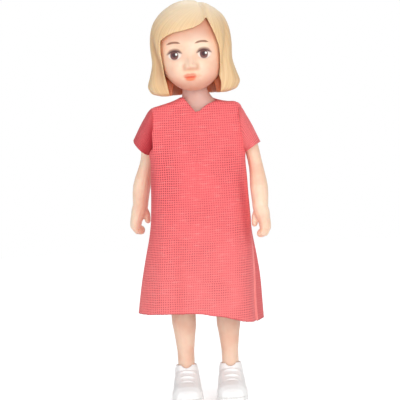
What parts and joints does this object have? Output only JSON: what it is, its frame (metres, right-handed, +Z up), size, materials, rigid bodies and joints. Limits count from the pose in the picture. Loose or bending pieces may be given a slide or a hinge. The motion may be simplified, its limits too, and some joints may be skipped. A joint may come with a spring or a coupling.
{
  "type": "miniature doll",
  "caption": "Small standing doll with moulded bob, turning head, arms and legs, woven V-neck dress and moulded lace-up shoes.",
  "frame": {"origin": "on the floor under the middle of the doll, between the soles", "axes": "+Z up along the standing figure, -Y the way the doll faces, +X the doll's own left"},
  "size_m": [0.0396, 0.0255, 0.1119],
  "materials": {
    "skin_vinyl": "smooth satin vinyl, skin colour, painted face",
    "body_plastic": "smooth satin moulded plastic",
    "peg_plastic": "plain moulded plastic",
    "hair_plastic": "satin moulded plastic with combed grooves, blond",
    "dress_cotton": "plain woven cotton, coral",
    "tape_nylon": "thin hook-and-loop tape, coral",
    "shoe_vinyl": "smooth satin vinyl, white"
  },
  "bodies": {
    "torso": {"torso_front": "body_plastic", "torso_back": "body_plastic", "neck_peg": "peg_plastic", "dress_front": "dress_cotton", "dress_back_left": "dress_cotton", "dress_back_right": "dress_cotton", "closure_tape": "tape_nylon"},
    "head": {"head": "skin_vinyl", "hair": "hair_plastic"},
    "arm_left": {"arm_left": "skin_vinyl", "sleeve_left": "dress_cotton", "shoulder_peg_left": "peg_plastic"},
    "arm_right": {"arm_right": "skin_vinyl", "sleeve_right": "dress_cotton", "shoulder_peg_right": "peg_plastic"},
    "leg_left": {"leg_left": "skin_vinyl", "shoe_left": "shoe_vinyl", "hip_peg_left": "peg_plastic"},
    "leg_right": {"leg_right": "skin_vinyl", "shoe_right": "shoe_vinyl", "hip_peg_right": "peg_plastic"}
  },
  "joints": [
    {"name": "head_turn", "type": "hinge", "parent": "torso", "child": "head", "pos_m": [0, 0, 0.0876], "axis": [-0.0279, 0, 0.9996], "range_deg": [-70, 70]},
    {"name": "shoulder_left", "type": "hinge", "parent": "torso", "child": "arm_left", "pos_m": [0.0116, 0, 0.0766], "axis": [-1, 0, 0], "range_deg": [-47, 93], "deforming": ["dress_front", "dress_back_left", "dress_back_right"]},
    {"name": "shoulder_right", "type": "hinge", "parent": "torso", "child": "arm_right", "pos_m": [-0.0116, 0, 0.0766], "axis": [-1, 0, 0], "range_deg": [-17, 123], "deforming": ["dress_front", "dress_back_left", "dress_back_right"]},
    {"name": "hip_left", "type": "hinge", "parent": "torso", "child": "leg_left", "pos_m": [0.0029, 0, 0.0515], "axis": [-1, 0, 0], "range_deg": [-15, 17], "deforming": ["dress_front", "dress_back_left", "dress_back_right"]},
    {"name": "hip_right", "type": "hinge", "parent": "torso", "child": "leg_right", "pos_m": [-0.0029, 0, 0.0515], "axis": [-1, 0, 0], "range_deg": [-15, 17], "deforming": ["dress_front", "dress_back_left", "dress_back_right"]}
  ]
}
